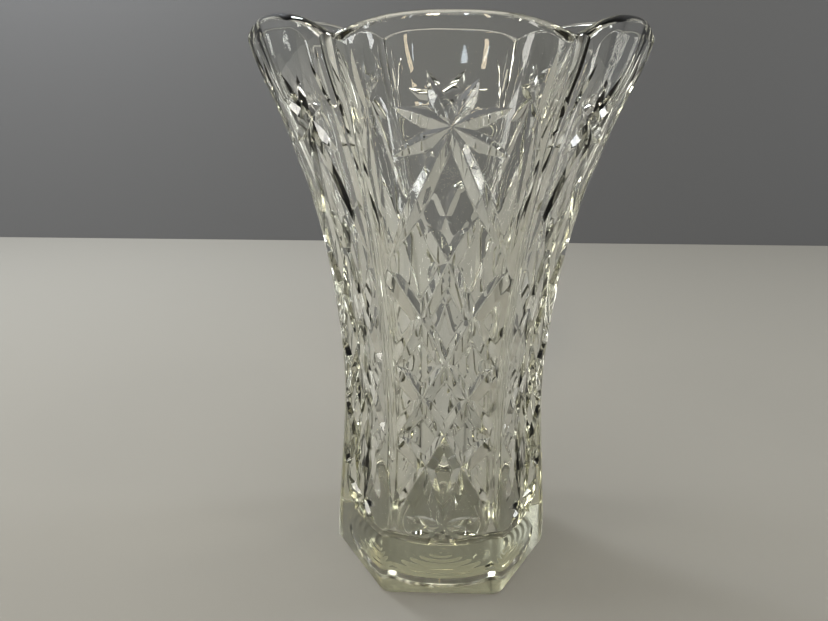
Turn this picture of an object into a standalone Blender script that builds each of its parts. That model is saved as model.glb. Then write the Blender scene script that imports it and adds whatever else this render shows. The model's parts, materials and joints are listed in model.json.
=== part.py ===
"""Six-sided pressed glass vase with a flared, lobed rim, in metres with +Z up.

The vase is one pressing of solid glass: a thick foot with a ringed recess under it, a body
that narrows to a waist and flares to six lobes, and a smooth inside left by the plunger.
Every panel carries the same mitre cuts: a star near the rim, a lattice of crossing V grooves
down the middle and a second star at the foot. The origin is the middle of the footprint.
"""
import math

import bmesh
import bpy
from mathutils import Matrix, Vector

# Overall sizes
HEIGHT = 0.216
FOOT_RADIUS = 0.0459            # axis to a foot corner
WAIST_RADIUS = 0.0419           # axis to a corner at the narrowest place
WAIST_HEIGHT = 0.075
RIM_RADIUS = 0.0756             # axis to the corner where two rim lobes would meet
SIDES = 6

# Form of the panels and of the rim
FLARE_CURVE = ((0.25, 0.085), (0.50, 0.277), (0.75, 0.625), (0.90, 0.895), (1.0, 1.0))
FLARE_BELOW = (-0.25, 0.05)     # leads the curve in, so that it leaves the waist upright
FLARE_BEYOND = (1.1, 1.03)      # leads the curve out, so that it turns upright at the rim
BULGE_SHARE = 0.51              # share of the height below which the panels are flat across
RIM_BULGE = 0.0018              # how far a lobe stands out in its middle
BULGE_POWER = 3.0               # keeps the bulge close to the rim
CORNER_ROUND = 0.0035           # run of the corner rounding along each panel
LOBE_DROP = 0.0070              # how far the rim falls from a lobe to a corner
LOBE_POWER = 2.5                # above 2 a lobe has a broad top and steep ends
SCALLOP_SHARE = 0.70            # share of the height above which the rows follow the rim

# Glass thickness and the inside
RIM_WALL = 0.0040
FOOT_WALL = 0.0055
FLOOR_THICKNESS = 0.017
FLOOR_ROUND = 0.007
INNER_LOBE = 0.0042             # extra reach of the inside towards each rim corner

# Foot and its underside
FOOT_BEVEL = 0.0008
RECESS_RADIUS = 0.0295
RECESS_DEPTH = 0.0020
RING_PITCH = 0.0090
RING_HEIGHT = 0.0008

# Mitre cuts
GROOVE_WIDTH = 0.0031           # half the width of a lattice groove
GROOVE_DEPTH = 0.0022
RAY_WIDTH = 0.0030              # half the width of a star's ray
RAY_DEPTH = 0.0022
RAY_OVERLAP = 0.14              # share of its length by which a ray runs past its star's middle
RAY_WIDEST = 0.50               # share of its length at which a ray is widest and deepest
MEETING_DEPTH = 0.80            # share of a ray's depth that it has at its star's middle
MIDDLE_RADIUS = 0.0012          # dimple where a star's rays run together
MIDDLE_EXTRA = 0.0001           # how far the dimple goes below the rays
MIDDLE_SHIFT = 0.1              # share of its radius by which the dimple's low point is off middle
FOOT_RAY_WIDTH = 0.0021
FOOT_RAY_DEPTH = 0.0015
LEAF_WIDTH = 0.0014
LEAF_DEPTH = 0.0010
CORNER_WIDTH = 0.0043           # half the width of the corner groove at the rim
CORNER_DEPTH = 0.0042
CUT_CLEARANCE = 0.0012          # how far a cutter stands proud of the panel
END_RISE = 0.0002               # how far a cut's ends lift clear of the panel
RUN_OUT = 0.0040                # length over which a groove rises out at its ends

# Places on a panel: share of its half width from the middle, share of the vase's height
STAR_HEIGHT = 0.845
FOOT_STAR_HEIGHT = 0.142
STAR_TIPS = ((0.22, 0.915), (0.55, 0.875), (0.63, 0.802))
LONG_RAY_END = (0.83, 0.632)
FALLING_GROOVE = ((0.85, 0.620), (0.40, 0.532), (0.0, 0.449), (-0.40, 0.382), (-0.825, 0.315))
RISING_GROOVE = ((-0.28, 0.697), (0.0, 0.629), (0.40, 0.532), (0.83, 0.449))
LOWER_GROOVE = ((0.83, 0.449), (0.40, 0.382), (0.0, 0.313), (-0.32, 0.252), (-0.73, 0.176))
FOOT_BRANCH = ((0.825, 0.315), (0.32, 0.252), (0.0, 0.142), (-0.06, 0.121))
FOOT_TIPS = ((0.67, 0.159), (0.45, 0.108))
LEAF_LINES = (((0.84, 0.670), (0.80, 0.945)), ((0.90, 0.720), (0.66, 0.935)))
CORNER_START = 0.685            # share of the height where the corner groove fades out
CORNER_POWER = 0.8              # how quickly the corner groove deepens towards the rim

# Fineness of the solid
PROBE = 0.0002                  # step over which a panel's slope is taken
PANEL_STEPS = 4
ROUND_STEPS = 3
LIP_STEPS = 4
BODY_ROWS = 6
FLARE_ROWS = 5
INSIDE_ROWS = 8
LEAF_STEPS = 2
CORNER_STEPS = 8


def smooth(value):
    value = min(max(value, 0.0), 1.0)
    return value * value * (3.0 - 2.0 * value)


def corner_radius(z):
    """Axis to sharp corner at height z: a shallow waist, then the flare."""
    if z <= WAIST_HEIGHT:
        return WAIST_RADIUS + (FOOT_RADIUS - WAIST_RADIUS) * (1.0 - smooth(z / WAIST_HEIGHT))
    share = min((z - WAIST_HEIGHT) / (HEIGHT - WAIST_HEIGHT), 1.0)
    stations = (FLARE_BELOW, (0.0, 0.0)) + FLARE_CURVE + (FLARE_BEYOND,)
    for index in range(1, len(stations) - 2):
        if share <= stations[index + 1][0]:
            break
    before, low, high, after = stations[index - 1:index + 3]
    span = high[0] - low[0]
    t = (share - low[0]) / span
    slope_low = (high[1] - before[1]) / (high[0] - before[0]) * span
    slope_high = (after[1] - low[1]) / (after[0] - low[0]) * span
    gain = ((2 * t ** 3 - 3 * t ** 2 + 1) * low[1] + (t ** 3 - 2 * t ** 2 + t) * slope_low
            + (3 * t ** 2 - 2 * t ** 3) * high[1] + (t ** 3 - t ** 2) * slope_high)
    return WAIST_RADIUS + (RIM_RADIUS - WAIST_RADIUS) * gain


def panel_bulge(z):
    start = BULGE_SHARE * HEIGHT
    share = max(z - start, 0.0) / (HEIGHT - start)
    return RIM_BULGE * share ** BULGE_POWER


def panel_middle(z):
    """Axis to the middle of a panel."""
    return corner_radius(z) * math.cos(math.pi / SIDES) + panel_bulge(z)


def half_panel(z):
    return corner_radius(z) * math.sin(math.pi / SIDES)


def panel_point(across, z):
    """Point on the front panel, which faces -Y."""
    share = across / half_panel(z)
    reach = corner_radius(z) * math.cos(math.pi / SIDES) + panel_bulge(z) * (1.0 - share * share)
    return Vector((across, -reach, z))


def rim_height(share):
    return HEIGHT - LOBE_DROP * abs(share) ** LOBE_POWER


def wall(z):
    share = smooth((z - FLOOR_THICKNESS) / (HEIGHT - FLOOR_THICKNESS))
    return FOOT_WALL + (RIM_WALL - FOOT_WALL) * share


def turned(point, side):
    return Matrix.Rotation(2.0 * math.pi * side / SIDES, 3, 'Z') @ point


def ring(height_at):
    """One row round the outside: flat panel points, then the rounded corner to the next panel."""
    points = []
    for side in range(SIDES):
        z_edge = height_at(1.0)
        edge_share = 1.0 - CORNER_ROUND / half_panel(z_edge)
        for step in range(PANEL_STEPS + 1):
            share = edge_share * (2.0 * step / PANEL_STEPS - 1.0)
            z = height_at(share)
            points.append(turned(panel_point(share * half_panel(z), z), side))
        z_start = height_at(edge_share)
        start = turned(panel_point(edge_share * half_panel(z_start), z_start), side)
        end = turned(panel_point(-edge_share * half_panel(z_start), z_start), side + 1)
        corner = turned(panel_point(half_panel(z_edge), z_edge), side)
        for step in range(1, ROUND_STEPS):
            t = step / ROUND_STEPS
            points.append((1 - t) ** 2 * start + 2 * t * (1 - t) * corner + t ** 2 * end)
    return points


def circle_like(points, radius, z):
    """The points moved radially on to a circle."""
    return [Vector((p.x, p.y, 0.0)).normalized() * radius + Vector((0.0, 0.0, z)) for p in points]


def inside_radius(point, z):
    angle = math.atan2(point.x, -point.y)
    corner_share = 0.5 * (1.0 - math.cos(SIDES * angle))
    start = BULGE_SHARE * HEIGHT
    lobe = INNER_LOBE * smooth((z - start) / (HEIGHT - start))
    return panel_middle(z) - wall(z) + lobe * corner_share


def inside_point(point, z):
    flat = Vector((point.x, point.y, 0.0)).normalized() * inside_radius(point, z)
    return flat + Vector((0.0, 0.0, z))


def triangle_object(name, vertices, faces):
    """Object of flat triangles, so that every cut meets true planes."""
    shape = bmesh.new()
    points = [shape.verts.new(place) for place in vertices]
    for face in faces:
        shape.faces.new([points[index] for index in face])
    bmesh.ops.triangulate(shape, faces=shape.faces[:])
    mesh = bpy.data.meshes.new(name)
    shape.to_mesh(mesh)
    shape.free()
    made = bpy.data.objects.new(name, mesh)
    bpy.context.collection.objects.link(made)
    return made


def loft(name, rows):
    """Closed body from rows of points that run from the underside's middle to the floor's middle."""
    count = len(rows[0])
    vertices = [Vector((0.0, 0.0, rows[0][0].z))]
    for row in rows:
        vertices.extend(row)
    vertices.append(Vector((0.0, 0.0, rows[-1][0].z)))
    faces = []
    for index in range(count):
        following = (index + 1) % count
        faces.append((0, 1 + following, 1 + index))
        for level in range(len(rows) - 1):
            low = 1 + level * count
            high = low + count
            faces.append((low + index, low + following, high + following, high + index))
        last = 1 + (len(rows) - 1) * count
        faces.append((last + index, last + following, len(vertices) - 1))
    return triangle_object(name, vertices, faces)


def underside_rows(outline):
    """Ringed recess, then the flat ring that the vase stands on."""
    rows = []
    radius = RING_PITCH / 2.0
    while radius < RECESS_RADIUS - RING_PITCH / 4.0:
        rows.append(circle_like(outline, radius, RECESS_DEPTH - RING_HEIGHT))
        rows.append(circle_like(outline, radius + RING_PITCH / 2.0, RECESS_DEPTH))
        radius += RING_PITCH
    rows.append(circle_like(outline, RECESS_RADIUS - RECESS_DEPTH / 2.0, RECESS_DEPTH))
    rows.append(circle_like(outline, RECESS_RADIUS, 0.0))
    share = 1.0 - FOOT_BEVEL / panel_middle(0.0)
    rows.append([Vector((p.x * share, p.y * share, 0.0)) for p in outline])
    return rows


def outside_rows():
    start = SCALLOP_SHARE * HEIGHT
    rows = [ring(lambda share: FOOT_BEVEL)]
    for step in range(1, BODY_ROWS + 1):
        z = FOOT_BEVEL + (start - FOOT_BEVEL) * step / BODY_ROWS
        rows.append(ring(lambda share, z=z: z))
    for step in range(1, FLARE_ROWS + 1):
        part = step / FLARE_ROWS
        rows.append(ring(lambda share, part=part: start
                         + (rim_height(share) - RIM_WALL / 2.0 - start) * part))
    return rows


def lip_rows(edge):
    """Rounded lip over the wall, from the outer edge to the inner edge."""
    rows = []
    for step in range(1, LIP_STEPS):
        turn = math.pi * step / LIP_STEPS
        inward = 0.5 * (1.0 - math.cos(turn))
        rise = Vector((0.0, 0.0, RIM_WALL / 2.0 * math.sin(turn)))
        rows.append([p.lerp(inside_point(p, p.z), inward) + rise for p in edge])
    return rows


def inside_rows(edge):
    rows = []
    foot = FLOOR_THICKNESS + FLOOR_ROUND
    for step in range(INSIDE_ROWS + 1):
        part = 1.0 - step / INSIDE_ROWS
        rows.append([inside_point(p, foot + (p.z - foot) * part) for p in edge])
    bottom = rows[-1]
    for degrees in (30.0, 60.0, 90.0):
        turn = math.radians(degrees)
        inset = FLOOR_ROUND * (1.0 - math.cos(turn))
        z = foot - FLOOR_ROUND * math.sin(turn)
        rows.append(circle_like(bottom, inside_radius(bottom[0], foot) - inset, z))
    return rows


def make_body():
    outline = ring(lambda share: 0.0)
    outside = outside_rows()
    edge = outside[-1]
    rows = underside_rows(outline) + outside + lip_rows(edge) + inside_rows(edge)
    return loft("vase_body", rows)


def on_panel(line):
    """A line's shares of the panel turned into places: across from its middle, up from the foot."""
    return [(share * half_panel(height * HEIGHT), height * HEIGHT) for share, height in line]


def handed(line, hand):
    """The line as it is for hand 1, or mirrored across the panel for hand -1."""
    return tuple((hand * share, height) for share, height in line)


def between(start, end, share):
    return tuple(a + (b - a) * share for a, b in zip(start, end))


def groove_stations(line, depth):
    """Places along a V groove with its depth there: full between, rising out at both ends."""
    places = on_panel(line)
    first = RUN_OUT / math.dist(places[0], places[1])
    last = RUN_OUT / math.dist(places[-2], places[-1])
    places.insert(1, between(places[0], places[1], first))
    places.insert(-1, between(places[-2], places[-1], 1.0 - last))
    depths = [depth] * len(places)
    depths[0] = depths[-1] = -END_RISE
    return places, depths


def leaf_stations(line, depth):
    """Places along a wheel-cut leaf, deepest in its middle and running out to a point at both ends."""
    corners = on_panel(line)
    places = [between(start, end, step / LEAF_STEPS)
              for start, end in zip(corners, corners[1:]) for step in range(LEAF_STEPS)]
    places.append(corners[-1])
    depths = []
    for index in range(len(places)):
        swing = 2.0 * index / (len(places) - 1) - 1.0
        depths.append((depth + END_RISE) * (1.0 - swing * swing) - END_RISE)
    return places, depths


def add_cut(mesh_data, surface, stations, depths, width, depth, side):
    """Wedge along the stations, its edge in the glass and its back clear of the panel."""
    vertices, faces = mesh_data
    points = [turned(surface(s, z), side) for s, z in stations]
    slope = width / depth
    first = len(vertices)
    for index, point in enumerate(points):
        s, z = stations[index]
        across = turned(surface(s + PROBE, z), side) - turned(surface(s - PROBE, z), side)
        upward = turned(surface(s, z + PROBE), side) - turned(surface(s, z - PROBE), side)
        normal = across.cross(upward).normalized()
        ahead = points[min(index + 1, len(points) - 1)] - points[max(index - 1, 0)]
        sideways = normal.cross(ahead).normalized()
        half = (depths[index] + CUT_CLEARANCE) * slope
        vertices.append(point - normal * depths[index])
        vertices.append(point + normal * CUT_CLEARANCE + sideways * half)
        vertices.append(point + normal * CUT_CLEARANCE - sideways * half)
    for index in range(len(points) - 1):
        a = first + 3 * index
        b = a + 3
        faces.append((a, a + 1, b + 1, b))
        faces.append((a + 1, a + 2, b + 2, b + 1))
        faces.append((a + 2, a, b, b + 2))
    last = first + 3 * (len(points) - 1)
    faces.append((first, first + 2, first + 1))
    faces.append((last, last + 1, last + 2))


def cutter(name, cut):
    """One cutter object that repeats a cut on all six panels."""
    vertices, faces = [], []
    for side in range(SIDES):
        add_cut((vertices, faces), *cut, side)
    tool = triangle_object(name, vertices, faces)
    tool.hide_render = True
    tool.display_type = 'WIRE'
    return tool


def groove(line):
    places, depths = groove_stations(line, GROOVE_DEPTH)
    return (panel_point, places, depths, GROOVE_WIDTH, GROOVE_DEPTH)


def leaf(line, width, depth):
    places, depths = leaf_stations(line, depth)
    return (panel_point, places, depths, width, depth)


def star_ray(height, tip, width, depth):
    """Ray of a star: it starts past the middle, is widest half way out and runs to a point."""
    middle = (0.0, height)
    shares = (-RAY_OVERLAP, 0.0, RAY_WIDEST, 1.0)
    places = on_panel([between(middle, tip, share) for share in shares])
    depths = [-END_RISE, MEETING_DEPTH * depth, depth, -END_RISE]
    return (panel_point, places, depths, width, depth)


def star_middle(height, ray_depth):
    """Small dimple where a star's rays run together."""
    z = height * HEIGHT
    depth = MEETING_DEPTH * ray_depth + MIDDLE_EXTRA
    places = [(-MIDDLE_RADIUS, z), (MIDDLE_RADIUS * MIDDLE_SHIFT, z), (MIDDLE_RADIUS, z)]
    return (panel_point, places, [-END_RISE, depth, -END_RISE], MIDDLE_RADIUS, depth)


def corner_point(across, z):
    """The ridge between the front panel and the next, and places beside it."""
    ridge = Vector((across, -corner_radius(z), z))
    return turned(ridge, 0.5)


def corner_cut():
    """V groove on the ridge, fading out below and deepest at the rim."""
    low = CORNER_START * HEIGHT
    high = HEIGHT + CUT_CLEARANCE
    places, depths = [], []
    for step in range(CORNER_STEPS + 1):
        share = step / CORNER_STEPS
        places.append((0.0, low + (high - low) * share))
        depths.append((CORNER_DEPTH + END_RISE) * share ** CORNER_POWER - END_RISE)
    return (corner_point, places, depths, CORNER_WIDTH, CORNER_DEPTH)


def main():
    for item in list(bpy.data.objects):
        bpy.data.objects.remove(item, do_unlink=True)
    body = make_body()

    tools = [cutter("corner_groove_cutter", corner_cut())]
    tools.append(cutter("star_middle_cutter", star_middle(STAR_HEIGHT, RAY_DEPTH)))
    tools.append(cutter("foot_middle_cutter", star_middle(FOOT_STAR_HEIGHT, FOOT_RAY_DEPTH)))
    for hand in (1.0, -1.0):
        for across, height in STAR_TIPS + (LONG_RAY_END,):
            ray = star_ray(STAR_HEIGHT, (hand * across, height), RAY_WIDTH, RAY_DEPTH)
            tools.append(cutter("star_ray_cutter", ray))
        for across, height in FOOT_TIPS:
            ray = star_ray(FOOT_STAR_HEIGHT, (hand * across, height), FOOT_RAY_WIDTH, FOOT_RAY_DEPTH)
            tools.append(cutter("foot_ray_cutter", ray))
        for line in LEAF_LINES:
            tools.append(cutter("thin_leaf_cutter", leaf(handed(line, hand), LEAF_WIDTH, LEAF_DEPTH)))
        for line in (FALLING_GROOVE, RISING_GROOVE, LOWER_GROOVE, FOOT_BRANCH):
            tools.append(cutter("lattice_groove_cutter", groove(handed(line, hand))))

    # One Boolean takes every cut at once. Its solver is MANIFOLD, because EXACT leaves edges that
    # touch where the rays of a star meet.
    wheel_cuts = bpy.data.collections.new("wheel_cuts")
    bpy.context.scene.collection.children.link(wheel_cuts)
    for tool in tools:
        wheel_cuts.objects.link(tool)
        bpy.context.collection.objects.unlink(tool)
    cut = body.modifiers.new("Pattern", 'BOOLEAN')
    cut.operation = 'DIFFERENCE'
    cut.solver = 'MANIFOLD'
    cut.operand_type = 'COLLECTION'
    cut.collection = wheel_cuts

    body.data.shade_smooth()
    body.data.set_sharp_from_angle(angle=math.radians(30.0))

    glass = bpy.data.materials.new("pressed_glass")
    glass.use_nodes = True
    shader = glass.node_tree.nodes["Principled BSDF"]
    shader.inputs["Base Color"].default_value = (0.93, 0.96, 0.90, 1.0)
    shader.inputs["Roughness"].default_value = 0.04
    shader.inputs["Metallic"].default_value = 0.0
    shader.inputs["Transmission Weight"].default_value = 1.0
    shader.inputs["IOR"].default_value = 1.52
    body.data.materials.append(glass)


main()
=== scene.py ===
"""The looks of a six-sided pressed glass vase: fine mesh, glass, stage, lights and camera."""
import json
import math

import bmesh
import bpy
from mathutils import Matrix, Vector

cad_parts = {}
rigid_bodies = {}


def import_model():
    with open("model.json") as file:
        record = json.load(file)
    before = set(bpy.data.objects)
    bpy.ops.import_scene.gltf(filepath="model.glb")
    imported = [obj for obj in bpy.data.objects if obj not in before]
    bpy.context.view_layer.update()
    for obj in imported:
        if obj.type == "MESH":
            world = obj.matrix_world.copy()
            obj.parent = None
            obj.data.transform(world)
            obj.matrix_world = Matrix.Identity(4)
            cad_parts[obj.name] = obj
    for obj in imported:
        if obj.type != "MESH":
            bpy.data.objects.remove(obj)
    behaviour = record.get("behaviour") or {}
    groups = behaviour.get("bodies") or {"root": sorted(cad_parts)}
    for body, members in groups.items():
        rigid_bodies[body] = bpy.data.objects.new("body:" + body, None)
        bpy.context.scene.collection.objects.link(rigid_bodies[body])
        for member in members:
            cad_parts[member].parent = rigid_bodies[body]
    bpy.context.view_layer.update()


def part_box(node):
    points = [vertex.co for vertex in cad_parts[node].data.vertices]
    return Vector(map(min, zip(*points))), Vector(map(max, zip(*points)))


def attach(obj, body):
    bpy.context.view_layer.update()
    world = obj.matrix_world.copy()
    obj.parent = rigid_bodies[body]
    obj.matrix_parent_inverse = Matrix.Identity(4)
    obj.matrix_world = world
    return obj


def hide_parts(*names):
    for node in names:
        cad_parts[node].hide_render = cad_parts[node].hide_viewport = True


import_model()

bpy.ops.object.select_all(action='DESELECT')


# ---------------------------------------------------------------------------
# Camera. A short lens stands close in front of the vase and looks down on it,
# so the rim opens towards the viewer and the foot looks small.
# ---------------------------------------------------------------------------
SENSOR_WIDTH = 36.0
LENS = 33.61
EYE = Vector((-0.0062, -0.2959, 0.2048))
TILT_DOWN = math.radians(18.56)
PAN = math.radians(1.197)
ROLL = math.radians(0.33)

forward = Vector((0.0, math.cos(TILT_DOWN), -math.sin(TILT_DOWN)))
level = Vector((1.0, 0.0, 0.0))
upward = level.cross(forward)
right = level * math.cos(ROLL) + upward * math.sin(ROLL)
upward = upward * math.cos(ROLL) - level * math.sin(ROLL)
pan = Matrix.Rotation(PAN, 3, 'Z')
right, upward, forward = pan @ right, pan @ upward, pan @ forward

eye_data = bpy.data.cameras.new("camera")
eye_data.lens = LENS
eye_data.sensor_width = SENSOR_WIDTH
eye_data.clip_start = 0.01
camera = bpy.data.objects.new("camera", eye_data)
camera.matrix_world = Matrix.Translation(EYE) @ Matrix((right, upward, -forward)).transposed().to_4x4()
bpy.context.collection.objects.link(camera)
bpy.context.scene.camera = camera


# ---------------------------------------------------------------------------
# Vase body. One pressing of clear glass: six flat panels with rounded corners
# outside, a round plunger-smooth inside, a fire-polished lip in six lobes and
# a ringed recess under a thick foot. The sizes are the CAD model's.
# ---------------------------------------------------------------------------
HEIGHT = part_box("vase_body")[1][2]
SIDES = 6
FOOT_RADIUS = 0.0459             # axis to a foot corner
WAIST_RADIUS = 0.0419            # axis to a corner at the narrowest place
WAIST_HEIGHT = 0.075
RIM_RADIUS = 0.0756              # axis to the corner where two rim lobes would meet
FLARE_CURVE = ((0.25, 0.085), (0.50, 0.277), (0.75, 0.625), (0.90, 0.895), (1.0, 1.0))
FLARE_BELOW = (-0.25, 0.05)      # leads the curve in, nearly upright at the waist
FLARE_BEYOND = (1.1, 1.03)       # leads the curve out, steeper at the rim
BULGE_SHARE = 0.51               # share of the height below which the panels are flat across
RIM_BULGE = 0.0018
BULGE_POWER = 3.0
CORNER_ROUND = 0.0035            # run of the corner rounding along each panel
LOBE_DROP = 0.0070               # how far the rim falls from a lobe to a corner
LOBE_POWER = 2.5
SCALLOP_SHARE = 0.70             # share of the height above which the rows follow the rim
RIM_WALL = 0.0040
FOOT_WALL = 0.0055
FLOOR_THICKNESS = 0.017
FLOOR_ROUND = 0.007
INNER_LOBE = 0.0042              # extra reach of the inside towards each rim corner
FOOT_BEVEL = 0.0008
RECESS_RADIUS = 0.0295
RECESS_DEPTH = 0.0020
RECESS_BEVEL = 0.0002
RING_PITCH = 0.0045              # half the pitch of the CAD model's rings
RING_HEIGHT = 0.00007

PANEL_STEPS = 18
ROUND_STEPS = 7
LIP_STEPS = 20
BODY_ROWS = 54
FLARE_ROWS = 34
INSIDE_ROWS = 48
FLOOR_STEPS = 12
FLOOR_RINGS = 5
RING_ROWS = 8
FOOT_STEPS = 3


def smooth(value):
    value = min(max(value, 0.0), 1.0)
    return value * value * (3.0 - 2.0 * value)


def corner_radius(z):
    """Axis to sharp corner at height z: a shallow waist, then the flare."""
    if z <= WAIST_HEIGHT:
        return WAIST_RADIUS + (FOOT_RADIUS - WAIST_RADIUS) * (1.0 - smooth(z / WAIST_HEIGHT))
    share = min((z - WAIST_HEIGHT) / (HEIGHT - WAIST_HEIGHT), 1.0)
    stations = (FLARE_BELOW, (0.0, 0.0)) + FLARE_CURVE + (FLARE_BEYOND,)
    for index in range(1, len(stations) - 2):
        if share <= stations[index + 1][0]:
            break
    before, low, high, after = stations[index - 1:index + 3]
    span = high[0] - low[0]
    t = (share - low[0]) / span
    slope_low = (high[1] - before[1]) / (high[0] - before[0]) * span
    slope_high = (after[1] - low[1]) / (after[0] - low[0]) * span
    gain = ((2 * t ** 3 - 3 * t ** 2 + 1) * low[1] + (t ** 3 - 2 * t ** 2 + t) * slope_low
            + (3 * t ** 2 - 2 * t ** 3) * high[1] + (t ** 3 - t ** 2) * slope_high)
    return WAIST_RADIUS + (RIM_RADIUS - WAIST_RADIUS) * gain


def half_panel(z):
    return corner_radius(z) * math.sin(math.pi / SIDES)


def panel_bulge(z):
    start = BULGE_SHARE * HEIGHT
    return RIM_BULGE * (max(z - start, 0.0) / (HEIGHT - start)) ** BULGE_POWER


def panel_middle(z):
    return corner_radius(z) * math.cos(math.pi / SIDES) + panel_bulge(z)


def panel_point(across, z):
    """Point on the front panel, which faces -Y."""
    share = across / half_panel(z)
    reach = corner_radius(z) * math.cos(math.pi / SIDES) + panel_bulge(z) * (1.0 - share * share)
    return Vector((across, -reach, z))


def turned(point, side):
    return Matrix.Rotation(2.0 * math.pi * side / SIDES, 3, 'Z') @ point


def ring(height_at):
    """One row round the outside: panel points, then the rounded corner to the next panel."""
    points = []
    z_edge = height_at(1.0)
    edge_share = 1.0 - CORNER_ROUND / half_panel(z_edge)
    z_start = height_at(edge_share)
    start = panel_point(edge_share * half_panel(z_start), z_start)
    end = turned(panel_point(-edge_share * half_panel(z_start), z_start), 1)
    corner = panel_point(half_panel(z_edge), z_edge)
    front = []
    for step in range(PANEL_STEPS + 1):
        share = edge_share * (2.0 * step / PANEL_STEPS - 1.0)
        z = height_at(share)
        front.append(panel_point(share * half_panel(z), z))
    for step in range(1, ROUND_STEPS):
        t = step / ROUND_STEPS
        front.append((1 - t) ** 2 * start + 2 * t * (1 - t) * corner + t ** 2 * end)
    for side in range(SIDES):
        points.extend(turned(point, side) for point in front)
    return points


def circle_like(points, radius, z):
    return [Vector((p.x, p.y, 0.0)).normalized() * radius + Vector((0.0, 0.0, z)) for p in points]


def rim_height(share):
    return HEIGHT - LOBE_DROP * abs(share) ** LOBE_POWER


def wall(z):
    return FOOT_WALL + (RIM_WALL - FOOT_WALL) * smooth((z - FLOOR_THICKNESS) / (HEIGHT - FLOOR_THICKNESS))


def inside_radius(point, z):
    corner_share = 0.5 * (1.0 - math.cos(SIDES * math.atan2(point.x, -point.y)))
    start = BULGE_SHARE * HEIGHT
    return panel_middle(z) - wall(z) + INNER_LOBE * smooth((z - start) / (HEIGHT - start)) * corner_share


def inside_point(point, z):
    return Vector((point.x, point.y, 0.0)).normalized() * inside_radius(point, z) + Vector((0.0, 0.0, z))


# Underside: rings in the recess, then the flat ring that the vase stands on
rows = []
outline = ring(lambda share: 0.0)
ring_count = int(RECESS_RADIUS / RING_PITCH)
ring_edge = ring_count * RING_PITCH
for step in range(1, ring_count * RING_ROWS + 1):
    radius = ring_edge * step / (ring_count * RING_ROWS)
    wave = 0.5 - 0.5 * math.cos(2.0 * math.pi * radius / RING_PITCH)
    rows.append(circle_like(outline, radius, RECESS_DEPTH - RING_HEIGHT * wave))
rows.append(circle_like(outline, RECESS_RADIUS - RECESS_DEPTH / 2.0, RECESS_DEPTH))
rows.append(circle_like(outline, RECESS_RADIUS - RECESS_BEVEL, 1.5 * RECESS_BEVEL))
rows.append(circle_like(outline, RECESS_RADIUS + RECESS_BEVEL, 0.0))
for step in range(FOOT_STEPS + 1):
    turn = math.radians(90.0 * step / FOOT_STEPS)
    share = 1.0 - FOOT_BEVEL * (1.0 - math.sin(turn)) / panel_middle(0.0)
    z = FOOT_BEVEL * (1.0 - math.cos(turn))
    rows.append([Vector((p.x * share, p.y * share, z)) for p in outline])

# Outside: level rows up the body, then rows that bend to the shape of the rim
scallop_start = SCALLOP_SHARE * HEIGHT
for step in range(1, BODY_ROWS + 1):
    z = FOOT_BEVEL + (scallop_start - FOOT_BEVEL) * step / BODY_ROWS
    rows.append(ring(lambda share, z=z: z))
for step in range(1, FLARE_ROWS + 1):
    part = step / FLARE_ROWS
    rows.append(ring(lambda share, part=part: scallop_start
                     + (rim_height(share) - RIM_WALL / 2.0 - scallop_start) * part))

# Lip: half a turn over the wall, from the outer edge to the inner edge
edge = rows[-1]
for step in range(1, LIP_STEPS):
    turn = math.pi * step / LIP_STEPS
    inward = 0.5 * (1.0 - math.cos(turn))
    rise = Vector((0.0, 0.0, RIM_WALL / 2.0 * math.sin(turn)))
    rows.append([p.lerp(inside_point(p, p.z), inward) + rise for p in edge])

# Inside: down the wall, round the floor's edge and in to the middle
inner_foot = FLOOR_THICKNESS + FLOOR_ROUND
for step in range(INSIDE_ROWS + 1):
    part = 1.0 - step / INSIDE_ROWS
    rows.append([inside_point(p, inner_foot + (p.z - inner_foot) * part) for p in edge])
floor_radius = inside_radius(rows[-1][0], inner_foot)
bottom = rows[-1]
for step in range(1, FLOOR_STEPS + 1):
    turn = math.radians(90.0 * step / FLOOR_STEPS)
    z = inner_foot - FLOOR_ROUND * math.sin(turn)
    rows.append(circle_like(bottom, floor_radius - FLOOR_ROUND * (1.0 - math.cos(turn)), z))
for step in range(FLOOR_RINGS - 1, 0, -1):
    rows.append(circle_like(bottom, (floor_radius - FLOOR_ROUND) * step / FLOOR_RINGS, FLOOR_THICKNESS))


def rows_object(name, rows):
    """Closed object from rows of points: fans close its first and last rows."""
    count = len(rows[0])
    shape = bmesh.new()
    first = shape.verts.new((0.0, 0.0, rows[0][0].z))
    levels = [[shape.verts.new(point) for point in row] for row in rows]
    last = shape.verts.new((0.0, 0.0, rows[-1][0].z))
    for index in range(count):
        following = (index + 1) % count
        shape.faces.new((first, levels[0][following], levels[0][index]))
        shape.faces.new((last, levels[-1][index], levels[-1][following]))
        for low, high in zip(levels, levels[1:]):
            shape.faces.new((low[index], low[following], high[following], high[index]))
    bmesh.ops.triangulate(shape, faces=shape.faces[:], quad_method='SHORT_EDGE')
    mesh = bpy.data.meshes.new(name)
    shape.to_mesh(mesh)
    shape.free()
    made = bpy.data.objects.new(name, mesh)
    bpy.context.collection.objects.link(made)
    return made


vase = rows_object("vase_glass", rows)


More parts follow.
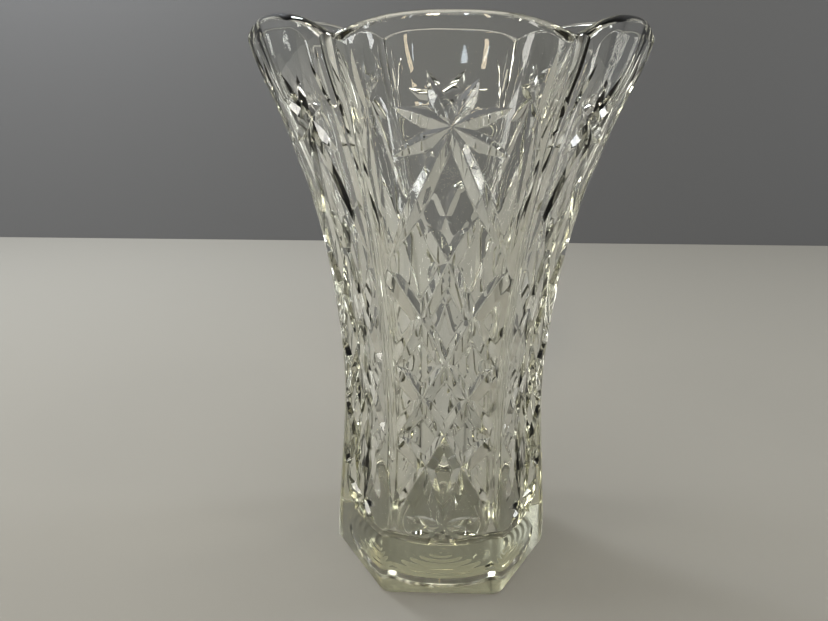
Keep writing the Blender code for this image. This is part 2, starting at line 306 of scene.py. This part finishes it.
# ---------------------------------------------------------------------------
# Mitre cuts. The mould carries the pattern of a V-edged cutting wheel: a star
# of leaves near the rim, a lattice of long grooves, a star at the foot and
# thin leaves beside each corner. Fire polishing has softened every edge.
# ---------------------------------------------------------------------------
GROOVE_WIDTH = 0.0031            # every width here is half the width of its cut
GROOVE_DEPTH = 0.0022
RAY_WIDTH = 0.0030
RAY_DEPTH = 0.0022
LONG_WIDTH = 0.0033
FOOT_RAY_WIDTH = 0.0021
FOOT_RAY_DEPTH = 0.0015
LEAF_WIDTH = 0.0014
LEAF_DEPTH = 0.0010
CORNER_WIDTH = 0.0050
CORNER_DEPTH = 0.0044
CORNER_POWER = 0.8               # how quickly the corner groove deepens towards the rim
CUT_CLEARANCE = 0.0006           # how far a cutter stands proud of the panel
END_LIFT = 0.00012               # how far a cut's ends lift clear of the panel
SMALLEST = 0.02                  # share of its full size that a cutter keeps at its ends
RUN_OUT = 0.0050                 # length over which a groove rises out at its ends
STATION_PITCH = 0.0035
PROBE = 0.0002                   # step over which a panel's slope is taken
RAY_OVERLAP = 0.14               # share of its length by which a ray runs past its star's middle
RAY_WIDEST = 0.50                # share of its length at which a ray is widest
MEETING_SIZE = 0.80              # share of its full size that a ray has at its star's middle
TIP_POWER = 1.35
LEAF_POWER = 0.8

# Places on a panel: share of its half width from the middle, share of the vase's height
STAR_HEIGHT = 0.845
FOOT_STAR_HEIGHT = 0.142
STAR_TIPS = ((0.22, 0.915), (0.55, 0.875), (0.63, 0.802))
LONG_RAY_END = (0.83, 0.632)
FALLING_GROOVE = ((0.85, 0.620), (0.40, 0.532), (0.0, 0.449), (-0.40, 0.382), (-0.825, 0.315))
RISING_GROOVE = ((-0.28, 0.697), (0.0, 0.629), (0.40, 0.532), (0.83, 0.449))
LOWER_GROOVE = ((0.83, 0.449), (0.40, 0.382), (0.0, 0.313), (-0.32, 0.252), (-0.73, 0.176))
FOOT_BRANCH = ((0.825, 0.315), (0.32, 0.252), (0.0, 0.142), (-0.06, 0.121))
FOOT_TIPS = ((0.67, 0.159), (0.58, 0.124), (0.27, 0.100))
LEAF_LINES = (((0.83, 0.643), (0.765, 0.878)), ((0.765, 0.860), (0.805, 0.954)),
              ((0.83, 0.643), (0.90, 0.782), (0.765, 0.888)), ((0.78, 0.866), (0.615, 0.935)))
CORNER_START = 0.685

# Half section of a cut, as shares of its half width and of its depth: a V with a rounded bottom
# and a rounded shoulder, each made of short steps
BOTTOM_RUN = 0.12
SHOULDER_RUN = 0.28
ROUNDING_STEPS = 3
SHOULDER_STEPS = 4
SECTION = []
for step in range(ROUNDING_STEPS + 1):
    run = BOTTOM_RUN * step / ROUNDING_STEPS
    SECTION.append((run, 1.0 - BOTTOM_RUN / 2.0 - run * run / (2.0 * BOTTOM_RUN)))
for step in range(SHOULDER_STEPS, -1, -1):
    run = SHOULDER_RUN * step / SHOULDER_STEPS
    SECTION.append((1.0 + SHOULDER_RUN / 2.0 - run, run * run / (2.0 * SHOULDER_RUN)))


def on_panel(line):
    return [(share * half_panel(height * HEIGHT), height * HEIGHT) for share, height in line]


def handed(line, hand):
    return tuple((hand * share, height) for share, height in line)


def between(start, end, share):
    return tuple(a + (b - a) * share for a, b in zip(start, end))


def stations_along(line):
    """Places every few millimetres along a line, with each one's share of the whole length."""
    corners = on_panel(line)
    places = []
    for start, end in zip(corners, corners[1:]):
        pieces = max(2, round(math.dist(start, end) / STATION_PITCH))
        places.extend(between(start, end, step / pieces) for step in range(pieces))
    places.append(corners[-1])
    walked = [0.0]
    for start, end in zip(places, places[1:]):
        walked.append(walked[-1] + math.dist(start, end))
    return places, [length / walked[-1] for length in walked], walked[-1]


def groove(line):
    """Cut of even depth that rises out over a short run at both ends."""
    places, shares, length = stations_along(line)
    sizes = []
    for share in shares:
        nearest = min(share, 1.0 - share) * length
        sizes.append(math.sin(0.5 * math.pi * min(nearest / RUN_OUT, 1.0)))
    return (panel_point, places, sizes, GROOVE_WIDTH, GROOVE_DEPTH)


def leaf(line, width, depth):
    """Leaf cut: widest and deepest in its middle, with a point at both ends."""
    places, shares, _ = stations_along(line)
    sizes = [max(1.0 - (2.0 * share - 1.0) ** 2, 0.0) ** LEAF_POWER for share in shares]
    return (panel_point, places, sizes, width, depth)


def star_ray(height, tip, width, depth):
    """Ray of a star: nearly full at the star's middle, widest half way out, then a point."""
    middle = (0.0, height)
    places, shares, _ = stations_along((between(middle, tip, -RAY_OVERLAP), middle, tip))
    start = RAY_OVERLAP / (1.0 + RAY_OVERLAP)
    sizes = []
    for share in shares:
        outward = (share - start) / (1.0 - start)
        if outward < 0.0:
            sizes.append(MEETING_SIZE * math.sqrt(max(1.0 - (outward / RAY_OVERLAP) ** 2, 0.0)))
        elif outward < RAY_WIDEST:
            sizes.append(MEETING_SIZE + (1.0 - MEETING_SIZE) * smooth(outward / RAY_WIDEST))
        else:
            past = (outward - RAY_WIDEST) / (1.0 - RAY_WIDEST)
            sizes.append(1.0 - past ** TIP_POWER)
    return (panel_point, places, sizes, width, depth)


def corner_point(across, z):
    return turned(Vector((across, -corner_radius(z), z)), 0.5)


def corner_cut():
    """Groove on the ridge between two panels, fading out below and deepest at the rim."""
    low, high = CORNER_START * HEIGHT, HEIGHT + 2.0 * CUT_CLEARANCE
    pieces = round((high - low) / STATION_PITCH)
    places = [(0.0, low + (high - low) * step / pieces) for step in range(pieces + 1)]
    sizes = [(step / pieces) ** CORNER_POWER for step in range(pieces + 1)]
    return (corner_point, places, sizes, CORNER_WIDTH, CORNER_DEPTH)


def cut_rows(surface, places, sizes, width, depth, side):
    """Sections of a cutter in space: bottom edge in the glass, back clear of the panel."""
    points = [turned(surface(across, z), side) for across, z in places]
    rows = []
    for index, point in enumerate(points):
        across, z = places[index]
        sideward = turned(surface(across + PROBE, z) - surface(across - PROBE, z), side)
        upward = turned(surface(across, z + PROBE) - surface(across, z - PROBE), side)
        outward = sideward.cross(upward).normalized()
        ahead = points[min(index + 1, len(points) - 1)] - points[max(index - 1, 0)]
        beside = outward.cross(ahead).normalized()
        size = max(sizes[index], SMALLEST)
        lift = END_LIFT if sizes[index] < SMALLEST else 0.0
        half = [(share * width * size, lift - reach * depth * size) for share, reach in SECTION]
        flare = (SECTION[-1][0] - SECTION[-2][0]) * width / (SECTION[-2][1] * depth)
        half.append((half[-1][0] + CUT_CLEARANCE * flare, lift + CUT_CLEARANCE))
        loop = [(-a, b) for a, b in reversed(half)] + half[1:]
        rows.append([point + beside * a + outward * b for a, b in loop])
    return rows


def cutter(cut):
    """Cutter object that repeats a cut on all six panels."""
    shape = bmesh.new()
    for side in range(SIDES):
        levels = [[shape.verts.new(point) for point in row] for row in cut_rows(*cut, side)]
        count = len(levels[0])
        for low, high in zip(levels, levels[1:]):
            for index in range(count):
                following = (index + 1) % count
                shape.faces.new((low[index], low[following], high[following], high[index]))
        shape.faces.new(list(reversed(levels[0])))
        shape.faces.new(levels[-1])
    bmesh.ops.triangulate(shape, faces=shape.faces[:])
    mesh = bpy.data.meshes.new("wheel_cut")
    shape.to_mesh(mesh)
    shape.free()
    return bpy.data.objects.new("wheel_cut", mesh)


cuts = [corner_cut()]
for hand in (1.0, -1.0):
    for across, height in STAR_TIPS:
        cuts.append(star_ray(STAR_HEIGHT, (hand * across, height), RAY_WIDTH, RAY_DEPTH))
    long_tip = (hand * LONG_RAY_END[0], LONG_RAY_END[1])
    cuts.append(star_ray(STAR_HEIGHT, long_tip, LONG_WIDTH, RAY_DEPTH))
    for across, height in FOOT_TIPS:
        cuts.append(star_ray(FOOT_STAR_HEIGHT, (hand * across, height), FOOT_RAY_WIDTH, FOOT_RAY_DEPTH))
    for line in LEAF_LINES:
        cuts.append(leaf(handed(line, hand), LEAF_WIDTH, LEAF_DEPTH))
    for line in (FALLING_GROOVE, RISING_GROOVE, LOWER_GROOVE, FOOT_BRANCH):
        cuts.append(groove(handed(line, hand)))

wheel_cuts = bpy.data.collections.new("wheel_cuts")
bpy.context.scene.collection.children.link(wheel_cuts)
for cut in cuts:
    wheel_cuts.objects.link(cutter(cut))
carve = vase.modifiers.new("Carve", 'BOOLEAN')
carve.operation = 'DIFFERENCE'
carve.solver = 'MANIFOLD'
carve.operand_type = 'COLLECTION'
carve.collection = wheel_cuts
bpy.context.view_layer.objects.active = vase
vase.select_set(True)
bpy.ops.object.modifier_apply(modifier=carve.name)
for tool in list(wheel_cuts.objects):
    bpy.data.objects.remove(tool, do_unlink=True)
bpy.data.collections.remove(wheel_cuts)

MERGE_DISTANCE = 0.00002
SMOOTH_BELOW = math.radians(13.0)
bpy.ops.object.mode_set(mode='EDIT')
bpy.ops.mesh.select_all(action='SELECT')
bpy.ops.mesh.remove_doubles(threshold=MERGE_DISTANCE)
bpy.ops.mesh.dissolve_degenerate(threshold=MERGE_DISTANCE)
bpy.ops.object.mode_set(mode='OBJECT')
bpy.ops.object.shade_smooth_by_angle(angle=SMOOTH_BELOW)
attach(vase, "root")
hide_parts("vase_body")


# ---------------------------------------------------------------------------
# Clear pressed glass: soda-lime glass with a faint straw tint that shows only
# where it is thick, a gentle waviness left by the mould and a foot that is
# slightly scuffed where it has stood on tables.
# ---------------------------------------------------------------------------
GLASS_IOR = 1.52
TINT = (0.95, 0.94, 0.62, 1.0)
TINT_DENSITY = 12.0
CLEAREST = (1.0, 1.0, 1.0, 1.0)
DULLEST = (0.975, 0.985, 0.965, 1.0)
HAZE_SCALE = 45.0
HAZE_SPREAD = (0.3, 0.7)         # noise values between which the haze goes from none to full
HAZE_ROUGHNESS = 0.018
SCUFF_HEIGHT = 0.0015            # scuffs fade out by this height above the table
SCUFF_SCALE = 900.0
SCUFF_ROUGHNESS = 0.30
RIPPLE_SCALE = 70.0
RIPPLE_DEPTH = 0.0004
RIPPLE_STRENGTH = 0.10

glass = bpy.data.materials.new("clear_glass")
glass.use_nodes = True
nodes, links = glass.node_tree.nodes, glass.node_tree.links
shader = nodes["Principled BSDF"]
output = nodes["Material Output"]
shader.inputs["Metallic"].default_value = 0.0
shader.inputs["IOR"].default_value = GLASS_IOR
shader.inputs["Transmission Weight"].default_value = 1.0

location = nodes.new("ShaderNodeTexCoord")


def noise(scale, detail):
    """Noise texture that keeps its place on the vase."""
    texture = nodes.new("ShaderNodeTexNoise")
    texture.inputs["Scale"].default_value = scale
    texture.inputs["Detail"].default_value = detail
    links.new(location.outputs["Object"], texture.inputs["Vector"])
    return texture


# Haze: faint dull patches in the polish
haze = noise(HAZE_SCALE, 4.0)
haze_range = nodes.new("ShaderNodeMapRange")
haze_range.inputs["From Min"].default_value = HAZE_SPREAD[0]
haze_range.inputs["From Max"].default_value = HAZE_SPREAD[1]
haze_range.inputs["To Min"].default_value = 0.0
haze_range.inputs["To Max"].default_value = HAZE_ROUGHNESS
links.new(haze.outputs["Fac"], haze_range.inputs["Value"])

# Scuffs: only on the lowest edge of the foot
split = nodes.new("ShaderNodeSeparateXYZ")
links.new(location.outputs["Object"], split.inputs["Vector"])
foot_band = nodes.new("ShaderNodeMapRange")
foot_band.inputs["From Min"].default_value = SCUFF_HEIGHT
foot_band.inputs["From Max"].default_value = 0.0
foot_band.inputs["To Min"].default_value = 0.0
foot_band.inputs["To Max"].default_value = 1.0
links.new(split.outputs["Z"], foot_band.inputs["Value"])
scuffs = noise(SCUFF_SCALE, 3.0)
scuffed = nodes.new("ShaderNodeMath")
scuffed.operation = 'MULTIPLY'
links.new(foot_band.outputs["Result"], scuffed.inputs[0])
links.new(scuffs.outputs["Fac"], scuffed.inputs[1])
rough = nodes.new("ShaderNodeMath")
rough.operation = 'MULTIPLY_ADD'
rough.inputs[1].default_value = SCUFF_ROUGHNESS
links.new(scuffed.outputs["Value"], rough.inputs[0])
links.new(haze_range.outputs["Result"], rough.inputs[2])
links.new(rough.outputs["Value"], shader.inputs["Roughness"])

tone = nodes.new("ShaderNodeMix")
tone.data_type = 'RGBA'
tone.inputs["A"].default_value = CLEAREST
tone.inputs["B"].default_value = DULLEST
links.new(haze.outputs["Fac"], tone.inputs["Factor"])
links.new(tone.outputs["Result"], shader.inputs["Base Color"])

# Ripple: the waviness of the mould's skin
ripple = noise(RIPPLE_SCALE, 2.0)
bump = nodes.new("ShaderNodeBump")
bump.inputs["Strength"].default_value = RIPPLE_STRENGTH
bump.inputs["Distance"].default_value = RIPPLE_DEPTH
links.new(ripple.outputs["Fac"], bump.inputs["Height"])
links.new(bump.outputs["Normal"], shader.inputs["Normal"])

tint = nodes.new("ShaderNodeVolumeAbsorption")
tint.inputs["Color"].default_value = TINT
tint.inputs["Density"].default_value = TINT_DENSITY
links.new(tint.outputs["Volume"], output.inputs["Volume"])
vase.data.materials.clear()
vase.data.materials.append(glass)


# ---------------------------------------------------------------------------
# Stage: a plain floor and, half a metre behind the vase, a dark grey backdrop
# that the glass is seen against. A wide soft box overhead and a lamp at each
# side fill the glass, small lamps in front and above make its glints, and one
# lamp washes the foot of the backdrop.
# ---------------------------------------------------------------------------
FLOOR_COLOUR = (0.22, 0.22, 0.21)
BACKDROP_COLOUR = (0.10, 0.104, 0.112)
BACKDROP_PLACE = 0.56            # behind the vase's axis
BACKDROP_SIZE = 3.0
PAPER_ROUGHNESS = 0.8
WORLD_GREY = (0.22, 0.22, 0.22, 1.0)
LIGHT_BOUNCES = 24


def plain(name, colour):
    material = bpy.data.materials.new(name)
    material.use_nodes = True
    surface = material.node_tree.nodes["Principled BSDF"]
    surface.inputs["Base Color"].default_value = (*colour, 1.0)
    surface.inputs["Roughness"].default_value = PAPER_ROUGHNESS
    return material


bpy.ops.mesh.primitive_plane_add(size=6.0, location=(0.0, 0.0, -0.0001))
floor = bpy.context.active_object
floor.name = "floor"
floor.data.materials.append(plain("floor_paper", FLOOR_COLOUR))

bpy.ops.mesh.primitive_plane_add(size=BACKDROP_SIZE, location=(0.0, BACKDROP_PLACE, BACKDROP_SIZE / 2.0),
                                 rotation=(math.radians(90.0), 0.0, 0.0))
backdrop = bpy.context.active_object
backdrop.name = "backdrop"
backdrop.data.materials.append(plain("backdrop_paper", BACKDROP_COLOUR))


def soft_light(name, place, aim, width, height, power, colour):
    """Rectangular lamp at a place, turned towards its aim; sizes in metres and power in watts."""
    data = bpy.data.lights.new(name, 'AREA')
    data.shape = 'RECTANGLE'
    data.size = width
    data.size_y = height
    data.energy = power
    data.color = colour
    lamp = bpy.data.objects.new(name, data)
    lamp.location = place
    lamp.rotation_euler = (Vector(aim) - Vector(place)).to_track_quat('-Z', 'Y').to_euler()
    bpy.context.collection.objects.link(lamp)


middle = (0.0, 0.0, 0.12)
WARM = (1.0, 0.93, 0.74)
soft_light("key", (-0.071, -0.95, 0.90), middle, 0.055, 0.34, 5.0, (1.0, 0.84, 0.60))
soft_light("cool_strip", (0.075, -0.95, 0.92), middle, 0.016, 0.18, 0.8, (0.80, 0.90, 1.0))
soft_light("left", (-1.00, 0.10, 0.45), middle, 0.30, 0.70, 5.5, (1.0, 0.98, 0.94))
soft_light("right", (0.95, 0.20, 0.40), middle, 0.20, 0.50, 3.6, (0.96, 0.98, 1.0))
soft_light("ceiling", (-0.10, 0.0, 1.25), middle, 1.10, 0.80, 9.5, (1.0, 0.95, 0.84))
for place in ((-0.66, -0.50, 1.10), (0.66, -0.50, 1.10), (-0.55, 0.42, 1.00), (0.55, 0.42, 1.00)):
    soft_light("spot", place, middle, 0.12, 0.12, 1.00, WARM)
wall = (-0.36, BACKDROP_PLACE, 0.10)
soft_light("wall_wash", (-0.42, 0.38, 0.62), wall, 0.30, 0.08, 3.2, (0.96, 0.98, 1.0))

world = bpy.data.worlds.new("studio")
world.use_nodes = True
world.node_tree.nodes["Background"].inputs["Color"].default_value = WORLD_GREY
world.node_tree.nodes["Background"].inputs["Strength"].default_value = 1.0
bpy.context.scene.world = world
bpy.context.scene.cycles.max_bounces = LIGHT_BOUNCES
bpy.context.scene.cycles.transmission_bounces = LIGHT_BOUNCES
bpy.context.scene.view_settings.view_transform = 'Standard'
